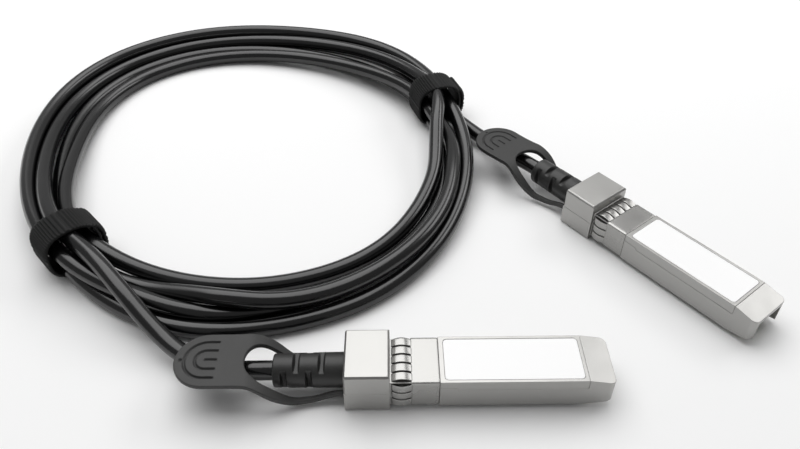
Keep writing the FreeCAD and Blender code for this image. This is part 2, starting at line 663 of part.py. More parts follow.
def latch_slider(name, place):
    """Stamped slider: two legs moulded into the tab's arms and a plate that lifts the cage's latch."""
    body = new_body(name)
    middle = "(groove_inner + groove_outer) / 2"
    inner, outer = middle + " - slider_leg / 2", middle + " + slider_leg / 2"
    joggle_end = "joggle_start + joggle_length"
    sketch = sketch_on(body, "XZ")
    loop(sketch, (
        ("-slider_tail", "slider_high"), ("joggle_start", "slider_high"), (joggle_end, "slider_low"),
        ("slider_tip", "slider_low"), ("slider_tip - slider_sheet", "slider_low + slider_sheet"),
        (joggle_end, "slider_low + slider_sheet"), ("joggle_start", "slider_high + slider_sheet"),
        ("-slider_tail", "slider_high + slider_sheet")))
    extrude(body, sketch, "2 * (%s)" % outer, symmetric=True)
    floor, ceiling = "slider_low - 0.1", "slider_high + 2 * slider_sheet"
    cut_box(body, "-slider_tail - 1", "slider_plate", "-(%s)" % inner, inner, floor, ceiling)
    cut_box(body, "boss_start - boss_flat", "slider_tip + 1", *half("slider_notch"), floor, ceiling)
    for low, high in ((inner, outer), ("-(%s)" % outer, "-(%s)" % inner)):
        add_box(body, "lug_start", "lug_start + slider_sheet", low, high,
                "spring_lift - spring_gap", "slider_high + slider_sheet / 2")
    keep(body, name, place)


def return_springs(name, place):
    """Folded strip springs between the block's stops and the slider's lugs, one in each groove."""
    body = new_body(name + "_left")
    start = "(stop_sheet + spring_gap)"
    free = "(lug_start - stop_sheet - 2 * spring_gap - spring_sheet)"
    middle = "(groove_inner + groove_outer) / 2"
    level = ("spring_lift", "spring_lift + spring_height")
    low, high = (middle + end + " spring_fold / 2" for end in (" -", " +"))
    for fold in range(SPRING_FOLDS + 1):
        x = "%s + %s * %d / %d" % (start, free, fold, SPRING_FOLDS)
        add_box(body, x, x + " + spring_sheet", low, high, *level)
        if fold < SPRING_FOLDS:
            edge = (low, low + " + spring_sheet") if fold % 2 else (high + " - spring_sheet", high)
            add_box(body, x, "%s + %s / %d" % (x, free, SPRING_FOLDS), *edge, *level)
    right = doc.addObject("Part::Mirroring", name + "_right")
    right.Source = body
    right.Normal = FreeCAD.Vector(0, 1, 0)
    group(name, [body, right], place)


def plug(side, place):
    """All the pieces of one plug, placed together."""
    base_shell("base_shell_" + side, place)
    cover_shell("cover_shell_" + side, place)
    emi_collar("emi_collar_" + side, place)
    label("label_" + side, place)
    paddle_card("paddle_card_" + side, place)
    edge_contacts("edge_contacts_" + side, place)
    lens_block("lens_block_" + side, place)
    chip("driver_chip_" + side, place, "driver")
    chip("controller_chip_" + side, place, "controller")
    fibre_pair("fibre_pair_" + side, place)
    crimp_sleeve("crimp_sleeve_" + side, place)
    boot("boot_" + side, place)
    pull_tab("pull_tab_" + side, place)
    latch_slider("latch_slider_" + side, place)
    return_springs("return_springs_" + side, place)


def bundle_lift():
    """Height of the bundle's underside where a tie passes beneath it."""
    return size("strap_sheet + strap_gap")


COIL_SHAPE = ((2, "coil_stretch", "coil_heading"), (3, "coil_three", "coil_three_heading"),
              (4, "coil_four", "coil_four_heading"))


def coil_mean(direction):
    """Radius of the bundle's middle in a direction, in degrees: a circle drawn out of round."""
    waves = [size(depth) * math.cos(math.radians(sides * (direction - size(heading))))
             for sides, depth, heading in COIL_SHAPE]
    return size("coil_radius") + sum(waves)


def coil_skew(direction):
    """Angle in degrees by which the bundle runs off square to the radius in a direction."""
    slopes = [-sides * size(depth) * math.sin(math.radians(sides * (direction - size(heading))))
              for sides, depth, heading in COIL_SHAPE]
    return math.degrees(math.atan2(sum(slopes), coil_mean(direction)))


def coil_section(direction):
    """Eight-sided section of the bundle in one direction, as one wire."""
    far_arc = (size("tie_left") - size("tie_right")) % 360
    from_right = (direction - size("tie_right")) % 360
    far = from_right <= far_arc
    share = from_right / far_arc if far else (from_right - far_arc) / (360 - far_arc)
    fan = math.sin(math.pi * share) ** 2
    inner = size("bundle_width") / 2 + fan * size("fan_inner_far" if far else "fan_inner_near")
    outer = size("bundle_width") / 2 + fan * size("fan_outer")
    low = bundle_lift() * (1 - fan)
    tied_top = bundle_lift() + size("bundle_height")
    high = tied_top + fan * (size("fan_top_far" if far else "fan_top_near") - tied_top)
    cut = 0.28
    rise, span = (high - low) * cut, (inner + outer) * cut
    mean = coil_mean(direction)
    corners = (
        (-inner, low + rise), (-inner + span, low), (outer - span, low), (outer, low + rise),
        (outer, high - rise), (outer - span, high), (-inner + span, high), (-inner, high - rise))
    heading = math.radians(direction)
    points = [FreeCAD.Vector(
        size("coil_x") + (mean + across) * math.cos(heading),
        size("coil_y") + (mean + across) * math.sin(heading), height) for across, height in corners]
    return Part.makePolygon(points + points[:1])


def cable_coil(name):
    """Outer shape of the wound turns: narrow and high in the ties, wide and low between them."""
    far_arc = (size("tie_left") - size("tie_right")) % 360
    directions = []
    for start, arc, stations in ((size("tie_right"), far_arc, FAR_STATIONS),
                                 (size("tie_left"), 360 - far_arc, NEAR_STATIONS)):
        step = (arc - 2 * TIE_STATION) / stations
        directions += [start] + [start + TIE_STATION + step * number for number in range(stations + 1)]
    ring = Part.makeLoft([coil_section(direction) for direction in directions], True, True, True)
    piece = doc.addObject("Part::Feature", name)
    piece.Shape = ring
    keep(piece, name, FreeCAD.Placement())


def cable_tail(name, place, route):
    """A tube along straight runs with a tangent arc at each corner, as large as the runs allow."""
    behind = (size("-boot_length"), size("-boot_length - tail_straight"))
    points = [place.multVec(FreeCAD.Vector(x, 0, size("cable_height"))) for x in behind]
    points += [FreeCAD.Vector(*point) for point in route]
    here = points[0]
    edges = []
    for before, corner, after in zip(points, points[1:], points[2:]):
        back, ahead = before - corner, after - corner
        turn = math.pi - back.getAngle(ahead)
        reach = 0.45 * min(back.Length, ahead.Length)
        radius = reach / math.tan(turn / 2)
        print("%s turns %.1f degrees on a radius of %.1f mm" % (name, math.degrees(turn), radius))
        start = corner + back.normalize() * reach
        finish = corner + ahead.normalize() * reach
        inward = (back + ahead).normalize()
        middle = corner + inward * (radius / math.cos(turn / 2) - radius)
        edges += [Part.LineSegment(here, start).toShape(), Part.Arc(start, middle, finish).toShape()]
        here = finish
    edges.append(Part.LineSegment(here, points[-1]).toShape())
    path = Part.Wire(edges)
    radius = size("cable_diameter") / 2
    section = Part.Wire(Part.makeCircle(radius, points[0], points[1] - points[0]))
    tube = path.makePipeShell([section], True, False)
    swept = math.pi * radius ** 2 * path.Length
    print("%s volume %.1f, section by length %.1f" % (name, tube.Volume, swept))
    piece = doc.addObject("Part::Feature", name)
    piece.Shape = tube
    keep(piece, name, FreeCAD.Placement())


def tie_strap(name, direction):
    """Hook-and-loop strap wound round the bundle."""
    body = new_body(name)
    inside = half("bundle_width + 2 * strap_gap")
    outside = half("bundle_width + 2 * strap_gap + 2 * strap_sheet")
    height = "bundle_height + 2 * strap_gap"
    sketch = sketch_on(body, "YZ")
    rectangle(sketch, *outside, "0", height + " + 2 * strap_sheet")
    extrude(body, sketch, "strap_width", symmetric=True)
    smooth(body, "Fillet", "strap_corner + strap_sheet", lambda edge: runs_along(edge, 0))
    sketch = sketch_on(body, "YZ")
    low, high = inside
    corner = "strap_corner"
    floor, ceiling = "strap_sheet", "strap_sheet + " + height
    loop(sketch, (
        (low, ceiling + " - " + corner), (low, floor + " + " + corner, low + " + " + corner),
        (low + " + " + corner, floor), (high + " - " + corner, floor, high + " - " + corner),
        (high, floor + " + " + corner), (high, ceiling + " - " + corner, high + " - " + corner),
        (high + " - " + corner, ceiling), (low + " + " + corner, ceiling, low + " + " + corner)))
    extrude(body, sketch, "strap_width + 2", "Pocket", symmetric=True)
    heading = math.radians(size(direction))
    mean = coil_mean(size(direction))
    middle = FreeCAD.Vector(
        size("coil_x") + mean * math.cos(heading), size("coil_y") + mean * math.sin(heading), 0)
    square = FreeCAD.Rotation(upright, size(direction) - 90 - coil_skew(size(direction)))
    keep(body, name, FreeCAD.Placement(middle, square))


def write_parts():
    """Checks every object and sub-part, then writes one file per sub-part."""
    doc.recompute()
    for item in doc.Objects:
        if "Invalid" in item.State or "Error" in item.State:
            raise RuntimeError("%s failed: %s" % (item.Label, item.State))
    for piece in parts:
        if piece.Shape.isNull() or not piece.Shape.isValid():
            raise RuntimeError("%s has no valid shape" % piece.Label)
    os.makedirs("parts", exist_ok=True)
    for piece in parts:
        piece.Shape.exportStep("parts/%s.step" % piece.Label)
        print(piece.Label, len(piece.Shape.Solids), "solids", round(piece.Shape.Volume, 2))


fill_sheet()
place_a = FreeCAD.Placement(FreeCAD.Vector(-size("block_length") / 2, 0, 0), FreeCAD.Rotation())
place_b = FreeCAD.Placement(
    FreeCAD.Vector(size("plug_b_x"), size("plug_b_y"), 0), FreeCAD.Rotation(upright, size("plug_b_turn")))
plug("a", place_a)
plug("b", place_b)
cable_coil("cable_coil")
cable_tail("cable_tail_a", place_a, TAIL_A_ROUTE)
cable_tail("cable_tail_b", place_b, TAIL_B_ROUTE)
tie_strap("tie_strap_left", "tie_left")
tie_strap("tie_strap_right", "tie_right")
write_parts()
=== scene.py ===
import json
import math

import bmesh
import bpy
import numpy as np
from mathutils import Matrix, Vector


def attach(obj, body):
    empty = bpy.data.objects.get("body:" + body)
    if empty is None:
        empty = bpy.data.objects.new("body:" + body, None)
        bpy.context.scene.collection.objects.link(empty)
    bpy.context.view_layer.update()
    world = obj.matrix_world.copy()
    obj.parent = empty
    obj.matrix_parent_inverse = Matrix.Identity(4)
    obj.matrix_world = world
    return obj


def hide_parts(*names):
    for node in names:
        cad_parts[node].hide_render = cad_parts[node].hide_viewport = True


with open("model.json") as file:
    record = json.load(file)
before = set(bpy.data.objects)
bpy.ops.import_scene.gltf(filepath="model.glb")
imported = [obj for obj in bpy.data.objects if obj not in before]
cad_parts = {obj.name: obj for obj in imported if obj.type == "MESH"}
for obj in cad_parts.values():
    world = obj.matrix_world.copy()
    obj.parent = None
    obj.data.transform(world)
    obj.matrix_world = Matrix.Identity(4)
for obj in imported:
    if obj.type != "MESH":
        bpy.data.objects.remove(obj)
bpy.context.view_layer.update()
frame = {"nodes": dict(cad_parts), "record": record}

bl_info = {
    "name": "Active optical cable",
    "version": (1, 0, 0),
    "blender": (4, 2, 0),
    "location": "View3D > Sidebar > Optical cable",
    "description": "Dresses the packed optical cable: lead, ties, tabs, boots, collars, finishes and studio",
    "category": "Object",
}

MM = 0.001

# Lengths are in millimetres and directions in degrees. Properties, lamps and camera are in metres.

# Middle of the coil, its mean radius, and the waves that draw it out of round, as in the solid that it
# replaces: sides of the shape, depth, and direction of one side. Then the directions of the two ties.
COIL_MIDDLE = np.array((-41.8, 96.2))
COIL_RADIUS = 71.2
COIL_WAVES = ((2, 5.96, 116.8), (3, 1.0, 19.4), (4, 0.8, 42.3))
TIE_LEFT = 229.5
TIE_RIGHT = 19.0

# Where the strands lie inside a tie: distance out from the bundle's middle, and height.
TIE_SLOTS = ((0.0, 11.9), (-3.8, 8.75), (-2.35, 4.4), (3.8, 8.75), (2.35, 4.4))

# Each turn's far arc and near arc: distance out and height at its middle, and how far the far arc keeps
# out of the bundle beside the right tie. Then the control points in each kind of arc.
FAR_ARCS = ((-2.0, 4.2), (-11.5, 2.4), (-7.0, 2.4), (2.4, 7.1), (2.6, 2.4))
FAR_SPREAD = (0.0, -1.2, 0.0, 2.6, 2.2)
NEAR_ARCS = ((-9.6, 2.4), (1.0, 6.6), (-2.5, 2.4), (4.0, 2.4))
FAR_COUNT = 24
NEAR_COUNT = 17

# The route from boot A to the left tie and from the right tie to boot B.
TAIL_A = (
    (-22.0, 0.0, 6.2), (-26.6, 0.0, 6.2), (-33.5, 0.75, 5.3), (-41.0, 3.55, 4.4), (-49.0, 9.5, 4.3),
    (-56.0, 16.5, 5.7), (-62.4, 23.3, 7.4), (-71.0, 31.4, 10.2), (-79.3, 39.0, 11.6),
)
TAIL_B = (
    (25.2, 115.8, 3.8), (29.1, 111.3, 3.5), (34.9, 102.5, 3.4), (40.8, 93.6, 4.1), (46.0, 86.2, 5.3),
    (49.9, 81.08, 6.2), (52.71, 77.43, 6.2),
)

# The rear face of each plug's grip block and the plug's heading, and how far its tab leans to one side.
PLUG_PLACES = {"a": ((-5.3, 0.0), 0.0), "b": ((62.91, 64.21), -52.35)}
TAB_LEAN = {"a": 0.0, "b": -3.0}

# Each tie: its solid, its direction, how far out it is seated, and the side on which it is lapped.
TIES = (("tie_strap_left", TIE_LEFT + 1.4, -0.4, 1), ("tie_strap_right", TIE_RIGHT, 0.6, -1))

# The pull tab: end of its arms, end of its hole, half width of the pad and radius of the hole.
ARM_TIP = 4.0
HOLE_END = -17.5
PAD_RADIUS = 7.5
HOLE_RADIUS = 5.7

# The boot: length, radius at the block, rounding of its rear edge, height of its axis, and its slots'
# count, first place, pitch, half width and distance from the axis. Then the radius and length of its neck.
BOOT_LENGTH = 16.7
BOOT_RADIUS = 4.2
BOOT_EDGE = 0.5
BOOT_HEIGHT = 6.2
SLOT_COUNT = 4
SLOT_FIRST = 5.25
SLOT_PITCH = 2.95
SLOT_HALF = 0.68
SLOT_FLOOR = 2.6
NECK_RADIUS = 2.9
NECK_LENGTH = 1.7

# The spring collar: root, length, pitch, half width and half thickness of a finger, and the body's half
# width, top and mid-height.
FINGER_ROOT = 15.7
FINGER_LENGTH = 4.7
FINGER_PITCH = 2.5
FINGER_HALF = 1.05
SHEET_HALF = 0.11
BODY_HALF = 6.775
BODY_TOP = 9.8
BODY_MIDDLE = 5.5

# Each lamp: place, width and depth, and the property that gives its power.
LAMPS = (("softbox", (-0.2, 0.5, 0.8), 1.1, 1.1, "key"), ("side_box", (1.0, 0.74, 0.8), 0.7, 0.9, "side"))

# Finishes of the pieces inside a plug: colour and its spread, metal, roughness, grain, relief, and the
# spread of the roughness where it differs. Then the width of the castings' rounded edges, in metres.
FINISHES = (
    ("card_laminate", (0.02, 0.16, 0.07), 0.15, 0.0, 0.4, 2000, 0.1),
    ("contact_gold", (0.85, 0.62, 0.22), 0.05, 1.0, 0.25, 2500, 0.05),
    ("lens_resin", (0.62, 0.42, 0.15), 0.1, 0.0, 0.15, 800, 0.02, 0.05),
    ("chip_epoxy", (0.02, 0.02, 0.02), 0.2, 0.0, 0.5, 3000, 0.3),
    ("fibre_buffer", (0.1, 0.5, 0.52), 0.08, 0.0, 0.4, 1500, 0.05),
    ("crimp_metal", (0.7, 0.64, 0.5), 0.06, 1.0, 0.3, 1500, 0.08),
    ("slider_steel", (0.6, 0.6, 0.59), 0.05, 1.0, 0.3, 1500, 0.08),
    ("spring_steel", (0.55, 0.55, 0.55), 0.05, 1.0, 0.25, 1500, 0.05),
)
CAST_EDGE = 0.000095

# The camera: place, pitch downwards, heading as a unit vector in the plane, and lens and film width in
# millimetres.
CAMERA_PLACE = (0.00637, -0.107, 0.1455)
CAMERA_PITCH = 41.25
CAMERA_HEADING = (0.01257, 0.99992)
CAMERA_LENS = 32.8
FILM_WIDTH = 36.0


def smooth_step(value):
    """s^2 (3 - 2 s), with s held between 0 and 1."""
    held = np.clip(value, 0.0, 1.0)
    return held ** 2 * (3 - 2 * held)


def rounded(wave, power):
    """A cosine or sine raised to 2 / power with its sign kept, which squares off an ellipse."""
    return np.sign(wave) * np.abs(wave) ** (2 / power)


def coil_mean(direction):
    """r(a) = R + sum of d cos n(a - h), the bundle's mean radius."""
    return COIL_RADIUS + sum(
        depth * np.cos(np.radians(sides * (direction - heading)))
        for sides, depth, heading in COIL_WAVES)


def coil_skew(direction):
    """Angle by which the bundle runs off square to the radius, from the slope of r(a)."""
    slope = sum(-sides * depth * np.sin(np.radians(sides * (direction - heading)))
                for sides, depth, heading in COIL_WAVES)
    return np.arctan2(slope, coil_mean(direction))


def in_plug(points, side):
    """Points drawn along a plug in millimetres, turned and moved to that plug, in metres."""
    (x, y), turn = PLUG_PLACES[side]
    cosine, sine = math.cos(math.radians(turn)), math.sin(math.radians(turn))
    turned = np.stack((
        x + points[..., 0] * cosine - points[..., 1] * sine,
        y + points[..., 0] * sine + points[..., 1] * cosine, points[..., 2]), -1)
    return turned * MM


def coil_points(direction, out, height):
    """Points at a distance out from the bundle's middle line and at a height."""
    heading = np.radians(direction)
    radius = coil_mean(direction) + out
    flat = COIL_MIDDLE + radius[:, None] * np.column_stack((np.cos(heading), np.sin(heading)))
    return np.column_stack((flat, height))


def arc_points(start, sweep, slot_from, slot_to, middle, count, wave, spread=0.0):
    """One arc between two ties. With share s, m = s^2 (3 - 2 s) carries it from slot to slot and
    w = sin(pi s) fans it out to its place at mid-arc, where it wanders by 0.7 sin 2 pi (1.5 s + wave). The
    spread e adds e exp(-((s - 0.84) / 0.11)^2), no point lies lower than 2.38, and the control radius grows
    to put the spline on the arc."""
    share = np.arange(count) / count
    carry = share ** 2 * (3 - 2 * share)
    fan = np.sin(np.pi * share)
    slot_from, slot_to, middle = (np.array(pair) for pair in (slot_from, slot_to, middle))
    place = slot_from + carry[:, None] * (slot_to - slot_from)
    place += fan[:, None] * (middle - (slot_from + slot_to) / 2)
    place[:, 0] += fan * 0.7 * np.sin(2 * np.pi * (share * 1.5 + wave))
    place[:, 0] += spread * np.exp(-((share - 0.84) / 0.11) ** 2)
    place[:, 1] = np.maximum(place[:, 1], 2.38)
    step = math.radians(abs(sweep) / count)
    direction = start + sweep * share
    grow = coil_mean(direction) * (1 / (0.75 + 0.25 * math.cos(step)) - 1)
    return coil_points(direction, place[:, 0] + grow, place[:, 1])


def settled(points, apart, lowest, rounds=70):
    """Strands eased off one another. In each round every span is sampled four times on the quadratic
    spline, q = ((1 - t)^2 a + (1 + 2 t (1 - t)) b + t^2 c) / 2, and a sample at distance d < D from the
    nearest strand that is not its own run moves off by (D - d) / 2. The moves are averaged along the lead
    and taken a little further, both ends stay, and nothing sinks into the table."""
    own_run, haste, least = 60, 1.3, 0.2
    points = points.copy()
    share = ((np.arange(4) + 0.5) / 4)[None, :, None]
    free = np.ones((len(points), 1))
    free[:3] = free[-4:] = 0
    for _ in range(rounds):
        spans = ((1 - share) ** 2 * points[:-2, None]
                 + (1 + 2 * share * (1 - share)) * points[1:-1, None]
                 + share ** 2 * points[2:, None]) / 2
        samples = spans.reshape(-1, 3)
        run = np.append(0, np.cumsum(np.linalg.norm(np.diff(samples, axis=0), axis=1)))
        between = samples[:, None] - samples[None]
        distance = np.linalg.norm(between, axis=-1)
        distance[np.abs(run[:, None] - run[None]) < own_run] = np.inf
        rows, nearest = np.arange(len(samples)), distance.argmin(1)
        closest = distance[rows, nearest]
        push = np.maximum(apart - closest, 0) / np.maximum(closest, least) / 2
        moves = np.zeros_like(points)
        moves[1:-1] = (push[:, None] * between[rows, nearest]).reshape(spans.shape).mean(1)
        moves[1:-1] = (moves[:-2] + 2 * moves[1:-1] + moves[2:]) / 4
        points += haste * free * moves
        points[:, 2] = np.maximum(points[:, 2], lowest)
    return points


def cable_points(diameter):
    """Control points of the whole lead, boot to boot, in metres."""
    far_sweep = TIE_RIGHT - TIE_LEFT
    near_sweep = -360 - far_sweep
    route = [np.array(TAIL_A)]
    for turn, slot in enumerate(TIE_SLOTS):
        route.append(arc_points(
            TIE_LEFT, far_sweep, slot, slot, FAR_ARCS[turn], FAR_COUNT, 0.31 * turn, FAR_SPREAD[turn]))
        if turn < len(NEAR_ARCS):
            route.append(arc_points(
                TIE_RIGHT, near_sweep, slot, TIE_SLOTS[turn + 1], NEAR_ARCS[turn], NEAR_COUNT,
                0.755 + 0.167 * turn))
    last = TIE_SLOTS[-1]
    route.append(coil_points(np.array([TIE_RIGHT]), np.array([last[0]]), np.array([last[1]])))
    route.append(np.array(TAIL_B))
    return settled(np.concatenate(route), diameter / MM + 0.1, diameter / MM / 2 + 0.03) * MM


def surface_object(name, points, faces, material):
    """A mesh from whole arrays of points in metres and quad faces, shaded smooth."""
    mesh = bpy.data.meshes.new(name)
    mesh.from_pydata(points.reshape(-1, 3).tolist(), [], [tuple(face) for face in faces])
    shell = bmesh.new()
    shell.from_mesh(mesh)
    bmesh.ops.recalc_face_normals(shell, faces=shell.faces)
    shell.to_mesh(mesh)
    shell.free()
    mesh.polygons.foreach_set("use_smooth", np.ones(len(mesh.polygons), dtype=bool))
    mesh.update()
    mesh.materials.append(material)
    piece = bpy.data.objects.new(name, mesh)
    bpy.context.collection.objects.link(piece)
    return piece


def grid_faces(stations, ring, count=1, capped=True):
    """Quads between neighbouring rings of a count of like tubes, capped at the ends or closed on
    themselves."""
    along = np.arange(stations - 1 if capped else stations)
    here, there = np.meshgrid(along, np.arange(ring), indexing="ij")
    after, beside = (here + 1) % stations, (there + 1) % ring
    quads = np.stack((
        here * ring + there, after * ring + there, after * ring + beside, here * ring + beside), -1)
    starts = np.arange(count) * stations * ring
    faces = (quads.reshape(1, -1, 4) + starts[:, None, None]).reshape(-1, 4).tolist()
    if capped:
        for start in starts.tolist():
            last = start + (stations - 1) * ring
            faces += [list(range(start, start + ring)), list(range(last + ring - 1, last - 1, -1))]
    return faces


def node_material(name, color, spread, metallic, roughness, grain, bump, rough_spread=0.08, shine=0.5):
    """A procedural finish: coarse noise in object space varies the colour and the roughness, and fine
    noise the relief."""
    material = bpy.data.materials.new(name)
    material.use_nodes = True
    tree = material.node_tree
    nodes, links = tree.nodes, tree.links
    shader = nodes["Principled BSDF"]
    shader.inputs["Metallic"].default_value = metallic
    shader.inputs["Specular IOR Level"].default_value = shine
    coords = nodes.new("ShaderNodeTexCoord")
    coarse = nodes.new("ShaderNodeTexNoise")
    coarse.inputs["Scale"].default_value = grain * 0.06
    coarse.inputs["Detail"].default_value = 3.0
    fine = nodes.new("ShaderNodeTexNoise")
    fine.inputs["Scale"].default_value = grain
    fine.inputs["Detail"].default_value = 4.0
    ramp = nodes.new("ShaderNodeMix")
    ramp.data_type = "RGBA"
    ramp.inputs["A"].default_value = (*[channel * (1 - spread) for channel in color], 1)
    ramp.inputs["B"].default_value = (*[min(1.0, channel * (1 + spread)) for channel in color], 1)
    rough = nodes.new("ShaderNodeMapRange")
    rough.inputs["To Min"].default_value = roughness - rough_spread
    rough.inputs["To Max"].default_value = roughness + rough_spread
    relief = nodes.new("ShaderNodeBump")
    relief.inputs["Strength"].default_value = bump
    relief.inputs["Distance"].default_value = 0.00012
    links.new(coords.outputs["Object"], coarse.inputs["Vector"])
    links.new(coords.outputs["Object"], fine.inputs["Vector"])
    links.new(coarse.outputs["Fac"], ramp.inputs["Factor"])
    links.new(ramp.outputs["Result"], shader.inputs["Base Color"])
    links.new(coarse.outputs["Fac"], rough.inputs["Value"])
    links.new(rough.outputs["Result"], shader.inputs["Roughness"])
    links.new(fine.outputs["Fac"], relief.inputs["Height"])
    links.new(relief.outputs["Normal"], shader.inputs["Normal"])
    return material


class CableSettings(bpy.types.PropertyGroup):
    """The wound lead"""
    diameter: bpy.props.FloatProperty(
        name="Diameter", description="Outside of the jacket", default=0.0047, unit="LENGTH")
    length: bpy.props.FloatProperty(
        name="Length", description="Whole lead from boot to boot", default=2.16, unit="LENGTH")
    roughness: bpy.props.FloatProperty(
        name="Roughness", description="Gloss of the jacket", default=0.2, subtype="FACTOR")
    color: bpy.props.FloatVectorProperty(
        name="Jacket", description="Colour of the jacket", default=(0.0025, 0.0025, 0.0027),
        subtype="COLOR")


class TieSettings(bpy.types.PropertyGroup):
    """The two hook-and-loop ties"""
    width: bpy.props.FloatProperty(
        name="Width", description="Strap along the bundle", default=0.0102, unit="LENGTH")
    thickness: bpy.props.FloatProperty(
        name="Thickness", description="One layer of tape", default=0.0012, unit="LENGTH")
    color: bpy.props.FloatVectorProperty(
        name="Tape", description="Colour of the ties", default=(0.0045, 0.0045, 0.0045), subtype="COLOR")


class PlugSettings(bpy.types.PropertyGroup):
    """The two plugs with their pull tabs, boots and spring collars"""
    groove_depth: bpy.props.FloatProperty(
        name="Groove depth", description="Grip grooves in a pull tab", default=0.0005, unit="LENGTH")
    finger_bow: bpy.props.FloatProperty(
        name="Finger bow", description="How far a spring finger stands proud", default=0.0006,
        unit="LENGTH")
    casting_color: bpy.props.FloatVectorProperty(
        name="Castings", description="Colour of the shells and covers", default=(0.385, 0.381, 0.37),
        subtype="COLOR")
    collar_color: bpy.props.FloatVectorProperty(
        name="Collars", description="Colour of the spring sheet", default=(0.35, 0.346, 0.336),
        subtype="COLOR")
    label_color: bpy.props.FloatVectorProperty(
        name="Labels", description="Colour of the blank labels", default=(0.95, 0.95, 0.95),
        subtype="COLOR")
    tab_color: bpy.props.FloatVectorProperty(
        name="Tabs", description="Colour of the pull tabs", default=(0.033, 0.033, 0.0325),
        subtype="COLOR")
    boot_color: bpy.props.FloatVectorProperty(
        name="Boots", description="Colour of the strain reliefs", default=(0.018, 0.018, 0.0175),
        subtype="COLOR")


class StudioSettings(bpy.types.PropertyGroup):
    """The lamps and the room"""
    key: bpy.props.FloatProperty(
        name="Key", description="Power of the large light above the coil", default=9.0, unit="POWER")
    side: bpy.props.FloatProperty(
        name="Side", description="Power of the light beyond the noses", default=6.3, unit="POWER")
    fill: bpy.props.FloatProperty(
        name="Fill", description="Light from the rest of the room", default=0.26)
    backdrop: bpy.props.FloatProperty(
        name="Backdrop", description="Pale wall behind the object", default=0.4)
    floor_color: bpy.props.FloatVectorProperty(
        name="Floor", description="Colour of the table", default=(0.93, 0.93, 0.93), subtype="COLOR")


class CABLE_OT_lead(bpy.types.Operator):
    """Winds the lead from boot to boot"""
    bl_idname = "optical_cable.lead"
    bl_label = "Lead"

    def execute(self, context):
        settings = context.scene.optical_lead
        curve = bpy.data.curves.new("cable", "CURVE")
        curve.dimensions = "3D"
        points = cable_points(settings.diameter)
        spline = curve.splines.new("NURBS")
        spline.points.add(len(points) - 1)
        spline.points.foreach_set("co", np.column_stack((points, np.ones(len(points)))).ravel())
        spline.order_u = 3
        spline.use_endpoint_u = True
        spline.resolution_u = 5
        curve.bevel_depth = settings.diameter / 2
        curve.bevel_resolution = 6
        curve.use_fill_caps = True
        curve.materials.append(node_material(
            "cable_jacket", settings.color, 0.35, 0.0, settings.roughness, 900, 0.04, 0.04, shine=0.65))
        piece = bpy.data.objects.new("cable", curve)
        context.collection.objects.link(piece)
        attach(piece, "root")
        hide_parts("cable_coil", "cable_tail_a", "cable_tail_b")
        return {"FINISHED"}


def strap_points(direction, seat, lapped, width, thickness):
    """A tape in metres, wound a little over once round the bundle, seated a little in or out of its middle
    and lapped on its inner (1) or outer (-1) side. At turn t its path is the squared-off ellipse
    (a cos t, b sin t) with power 2.7, its section is flat and square-edged, its lapped end rides one
    thickness further out, and ribs of depth d cos(n t) cross it from edge to edge."""
    bundle_reach, bundle_rise, path_power = 0.0069, 0.0065, 2.7
    rib_depth, rib_count = 0.0002, 54
    wound = np.linspace(-0.62, 2 * np.pi + 0.55, 620)
    turn = wound + lapped * np.pi / 2
    lap = thickness * 1.04 * (0.5 + 0.5 * np.tanh((wound - 2 * np.pi + 0.72) * 9))
    ribs = rib_depth * np.cos(rib_count * turn)
    reach = bundle_reach + thickness / 2 + lap
    rise = bundle_rise + thickness / 2
    centre = np.array((0.0, rise + thickness / 2))
    path = centre + np.column_stack((
        -reach * rounded(np.sin(turn), path_power), rise * rounded(np.cos(turn), path_power)))
    outward = path - centre
    outward /= np.linalg.norm(outward, axis=1)[:, None]
    ring = np.linspace(0, 2 * np.pi, 30, endpoint=False)
    flat = rounded(np.cos(ring), 9.0) * width / 2
    proud = rounded(np.sin(ring), 4.0)
    thick = proud[None, :] * thickness / 2 + np.maximum(proud, 0)[None, :] * ribs[:, None]
    heading = math.radians(direction)
    square = heading - float(coil_skew(direction))
    radial = np.array((math.cos(square), math.sin(square), 0.0))
    tangent = np.array((-radial[1], radial[0], 0.0))
    radius = float(coil_mean(direction)) + seat
    middle = COIL_MIDDLE + radius * np.array((math.cos(heading), math.sin(heading)))
    section = path[:, None, :] + thick[..., None] * outward[:, None, :]
    section[..., 1] = np.maximum(section[..., 1], 0.0)
    upright = section[..., 1:] * np.array((0, 0, 1))
    points = np.append(middle, 0.0) * MM + section[..., :1] * radial + upright
    return points + flat[None, :, None] * tangent


class CABLE_OT_ties(bpy.types.Operator):
    """Wraps the hook-and-loop ties round the bundle"""
    bl_idname = "optical_cable.ties"
    bl_label = "Ties"

    def execute(self, context):
        settings = context.scene.optical_ties
        material = node_material(
            "tie_fabric", settings.color, 0.7, 0.0, 0.62, 2600, 1.0, 0.1, shine=0.28)
        for name, direction, seat, lapped in TIES:
            points = strap_points(direction, seat, lapped, settings.width, settings.thickness)
            piece = surface_object(name + "_tape", points, grid_faces(*points.shape[:2]), material)
            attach(piece, "root")
            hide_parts(name)
        return {"FINISHED"}


